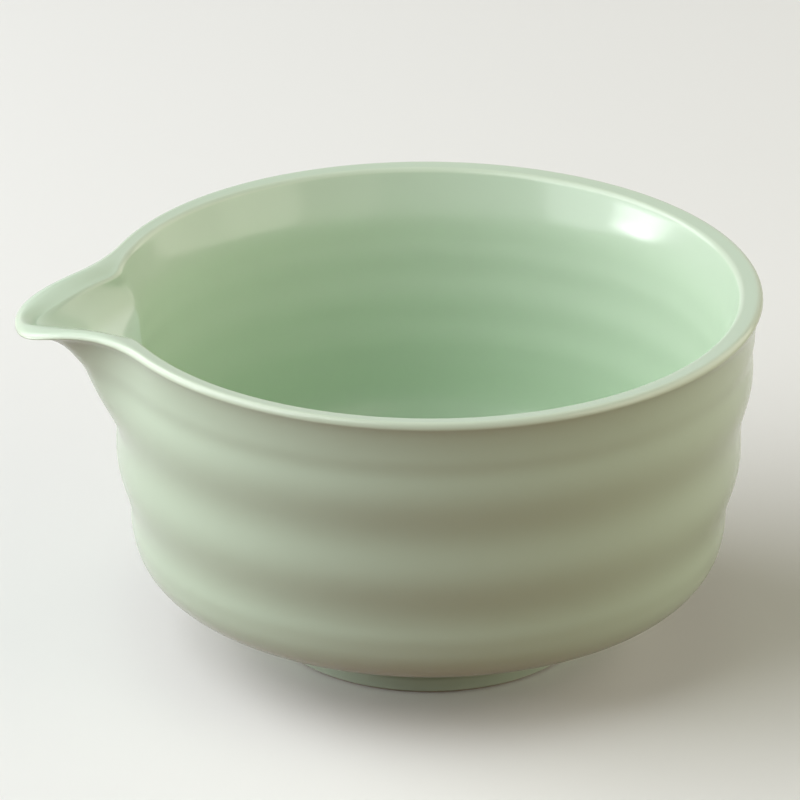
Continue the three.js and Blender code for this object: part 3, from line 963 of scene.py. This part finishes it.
class TEABOWL_OT_foot_ring(bpy.types.Operator):
    """Turn the bare foot ring"""

    bl_idname = "teabowl.foot_ring"
    bl_label = "Foot Ring"

    def execute(self, context):
        shape, foot = chosen("bowl", "foot")
        bare, bevel = foot.bare, foot.chamfer
        outer, inner = foot_clay_radius(0.0), foot.radius - foot.width + shape.glaze
        top = foot.recess + shape.glaze - foot.seam
        wiped = (foot_clay_radius(bare), bare)
        profile = np.concatenate([
            np.linspace((inner + bevel, 0.0), (outer - bevel, 0.0), 7),
            bezier([(outer - bevel, 0.0), (outer, 0.0), wiped], steps=6)[1:],
            [(foot_clay_radius(top), top), (inner, top)],
            bezier([(inner, bare), (inner, 0.0), (inner + bevel, 0.0)], steps=6)[:-1],
        ])
        layers = turned_points(profile, np.ones(len(profile)), FOOT_COLUMNS)
        piece = add_piece("foot_ring_clay", ring_mesh("foot_ring_clay", layers))
        settle(piece, "foot_ring", clay_material("foot clay", 0.5 * bare, 1.2 * bare))
        return {"FINISHED"}


def notch_block(lip, height, gap):
    """A long block through the wall, larger than the notch by a gap on each side."""
    half, low, beyond = lip.notch_width / 2 + gap, height - lip.notch_depth - gap, 5 * MM
    bend = lip.notch_corner
    corner = arc((half - bend, low + bend), bend, -math.pi / 2, 0.0, steps=16)
    side = np.concatenate([corner, [(half, height + beyond)]])
    outline = np.concatenate([side, side[::-1] * (-1, 1)])
    ends = (AXIS_X - lip.reach - beyond, AXIS_X)
    layers = np.stack([np.column_stack([np.full(len(outline), x), outline]) for x in ends])
    mesh = ring_mesh("notch", layers, closed=False)
    join_up(mesh, capped=True)
    return mesh


def cut(name, mesh, block, operation):
    """A new piece: what is left of a mesh without the block, or only inside it."""
    piece = add_piece(name, mesh.copy())
    tool = add_piece("cutter", block)
    modifier = piece.modifiers.new("cut", "BOOLEAN")
    modifier.object, modifier.operation, modifier.solver = tool, operation, "MANIFOLD"
    result = evaluated_mesh(piece)
    piece.modifiers.clear()
    piece.data = result
    bpy.data.objects.remove(tool)
    return piece


class TEABOWL_OT_clay_body(bpy.types.Operator):
    """Throw the body with its notch, and pull the lip that is luted into it"""

    bl_idname = "teabowl.clay_body"
    bl_label = "Clay Body"

    def execute(self, context):
        shape, foot, lip, fine = chosen("bowl", "foot", "lip", "fineness")
        seat = foot.recess + shape.glaze
        base = [(0.0, seat), (foot_clay_radius(seat), seat)]
        outside = np.concatenate([base, outer_under(outer_rows()[1])])
        inside = inner_under(inside_profile(shape, fine.row))
        shells = []
        sides = (("outer", outside, outside_share), ("inner", inside, inside_share))
        for side, profile, share_of in sides:
            layers = turned_points(profile, share_of(shape, profile), all_columns())
            piece = add_piece(side, ring_mesh(side, layers, closed=False))
            throw_rings(piece, ring_values(side))
            shells.append(piece.data)
            bpy.data.objects.remove(piece)
        join_up(*shells)
        # Under the glaze the clay is blushed all over, so both heights lie far below it
        material = clay_material("body clay", -1.0, -0.9)
        for name, node, gap, operation in (
            ("thrown_body_clay", "thrown_body", foot.seam / 2, "DIFFERENCE"),
            ("pouring_lip_clay", "pouring_lip", -foot.seam / 2, "INTERSECT"),
        ):
            piece = cut(name, shells[0], notch_block(lip, shape.height, gap), operation)
            settle(piece, node, material)
        return {"FINISHED"}


class TEABOWL_OT_rim_seam(bpy.types.Operator):
    """Melt the two coats together in the light where they meet on the crest of the rim"""

    bl_idname = "teabowl.rim_seam"
    bl_label = "Rim Seam"

    def execute(self, context):
        coats = [bpy.data.objects[name].data for name in ("outer_glaze_coat", "inner_glaze_coat")]
        found = [seam_corners(mesh) for mesh in coats]
        common = found[0].keys() & found[1].keys()
        if not common:
            raise RuntimeError("the two coats have no common points on the crest of the rim")
        for mesh, own, other in ((coats[0], *found), (coats[1], *found[::-1])):
            normals = np.zeros((len(mesh.loops), 3), np.float32)
            mesh.corner_normals.foreach_get("vector", normals.ravel())
            for key in common:
                both = own[key][1].normalized() + other[key][1].normalized()
                normals[own[key][0]] = both.normalized()
            mesh.normals_split_custom_set(normals.tolist())
        return {"FINISHED"}


def seam_corners(mesh):
    """For each point near the crest, its face corners that look up and the sum of their normals."""
    lowest, steepest = bpy.context.scene.bowl.height - 5 * MM, 0.5
    found = {}
    for polygon in mesh.polygons:
        if polygon.normal.z <= steepest:
            continue
        for corner in polygon.loop_indices:
            point = mesh.vertices[mesh.loops[corner].vertex_index].co
            if point.z < lowest:
                continue
            key = tuple(round(v / SAME_POINT) for v in point)
            corners, total = found.setdefault(key, ([], Vector((0.0, 0.0, 0.0))))
            corners.append(corner)
            total += polygon.normal * polygon.area
    return found


# The studio
def direction(azimuth, elevation):
    """From the bowl towards a lamp or the camera. An azimuth of nought is in front of it."""
    level = math.cos(elevation)
    return Vector((math.sin(azimuth) * level, -math.cos(azimuth) * level, math.sin(elevation)))


def add_lamp(name, place, target, shape, size, tilt, power, tint):
    data = bpy.data.lights.new(name, "AREA")
    data.shape, data.energy, data.color = shape, power, tint
    data.size, data.size_y = size
    aimed = (target - place).to_track_quat("-Z", "Y")
    add_object(name, data, place, aimed @ Quaternion((0.0, 0.0, 1.0), math.radians(tilt)))


def seen_directly(tree):
    """One for camera, glossy and transmission rays, nought for the rays that light the bowl."""
    path = add_node(tree, "ShaderNodeLightPath").outputs
    either = add_maths(tree, "MAXIMUM", path["Is Camera Ray"], path["Is Glossy Ray"])
    return add_maths(tree, "MAXIMUM", either, path["Is Transmission Ray"])


class TEABOWL_OT_stage(bpy.types.Operator):
    """Set the bowl on a pale floor under soft lamps"""

    bl_idname = "teabowl.stage"
    bl_label = "Stage"

    def execute(self, context):
        scene, studio = context.scene, context.scene.studio
        mesh = bpy.data.meshes.new("floor")
        far = FLOOR_HALF
        corners = [(-far, -far, 0), (far, -far, 0), (far, far, 0), (-far, far, 0)]
        mesh.from_pydata(corners, [], [(0, 1, 2, 3)])
        floor = add_object("floor", mesh)
        material, tree, shader = new_material("floor")
        seen = add_mix(tree, seen_directly(tree), studio.bounce, studio.floor)
        feed(tree, shader, {"Base Color": seen, "Roughness": 0.9, "Specular IOR Level": 0.1})
        mesh.materials.append(material)
        middle = Vector((AXIS_X, 0.0, scene.bowl.height / 2))
        for name, azimuth, elevation, distance, shape, size, tilt in LAMPS:
            place = middle + direction(math.radians(azimuth), math.radians(elevation)) * distance
            tint = studio.daylight if azimuth > 180 else studio.warm_light
            add_lamp(name, place, middle, shape, size, tilt, getattr(studio, name), tint)
        scene.world = bpy.data.worlds.new("studio air")
        scene.world.use_nodes = True
        air = scene.world.node_tree
        pale = add_mix(air, seen_directly(air), DARK_AIR, studio.floor)
        feed(air, air.nodes["Background"], {"Color": pale, "Strength": 1.0})
        scene.view_settings.view_transform = "Standard"
        return {"FINISHED"}


class TEABOWL_OT_camera(bpy.types.Operator):
    """Stand the camera where the photograph was taken from"""

    bl_idname = "teabowl.camera"
    bl_label = "Camera"

    def execute(self, context):
        scene, studio = context.scene, context.scene.studio
        data = bpy.data.cameras.new("camera")
        data.sensor_width, data.lens = SENSOR, studio.lens
        data.clip_start, data.clip_end = 0.05, 20.0
        back = direction(studio.azimuth, studio.elevation)
        level = Vector((math.cos(studio.azimuth), math.sin(studio.azimuth), 0.0))
        upright = back.cross(level)
        right = level * math.cos(studio.roll) + upright * math.sin(studio.roll)
        up = upright * math.cos(studio.roll) - level * math.sin(studio.roll)
        turned = Matrix((right, up, back)).transposed()
        # The small turn that moves the point from the middle of the picture to where it is seen
        per_pixel = SENSOR / FRAME_PIXELS / studio.lens
        across, down = (seen - FRAME_PIXELS / 2 for seen in SEEN_AT)
        ray = Vector((across * per_pixel, -down * per_pixel, -1.0))
        aside = ray.rotation_difference(Vector((0.0, 0.0, -1.0))).to_matrix()
        place = SOLVED_FOR + back * studio.distance
        scene.camera = add_object("camera", data, place, (turned @ aside).to_quaternion())
        return {"FINISHED"}


STEPS = (
    TEABOWL_OT_camera,
    TEABOWL_OT_clay_body,
    TEABOWL_OT_foot_ring,
    TEABOWL_OT_base_glaze,
    TEABOWL_OT_outer_glaze,
    TEABOWL_OT_inner_glaze,
    TEABOWL_OT_rim_seam,
    TEABOWL_OT_stage,
)
GROUPS = {
    "bowl": BowlShape,
    "lip": LipShape,
    "rings": ThrowingRings,
    "foot": FootShape,
    "fineness": Fineness,
    "finish": Finish,
    "studio": Studio,
}


class TEABOWL_PT_panel(bpy.types.Panel):
    """The steps of making the bowl"""

    bl_idname = "TEABOWL_PT_panel"
    bl_label = "Tea Bowl"
    bl_space_type = "VIEW_3D"
    bl_region_type = "UI"
    bl_category = "Tea Bowl"

    def draw(self, context):
        for step in STEPS:
            self.layout.operator(step.bl_idname)
        for name, group in GROUPS.items():
            box = self.layout.box()
            for value in group.__annotations__:
                box.prop(getattr(context.scene, name), value)


def register():
    for name, group in GROUPS.items():
        bpy.utils.register_class(group)
        setattr(bpy.types.Scene, name, bpy.props.PointerProperty(type=group))
    for cls in (*STEPS, TEABOWL_PT_panel):
        bpy.utils.register_class(cls)


def unregister():
    for cls in (TEABOWL_PT_panel, *reversed(STEPS)):
        bpy.utils.unregister_class(cls)
    for name, group in reversed(GROUPS.items()):
        delattr(bpy.types.Scene, name)
        bpy.utils.unregister_class(group)


def main():
    register()
    for step in STEPS:
        family, name = step.bl_idname.split(".")
        getattr(getattr(bpy.ops, family), name)()


if __name__ == "__main__":
    main()
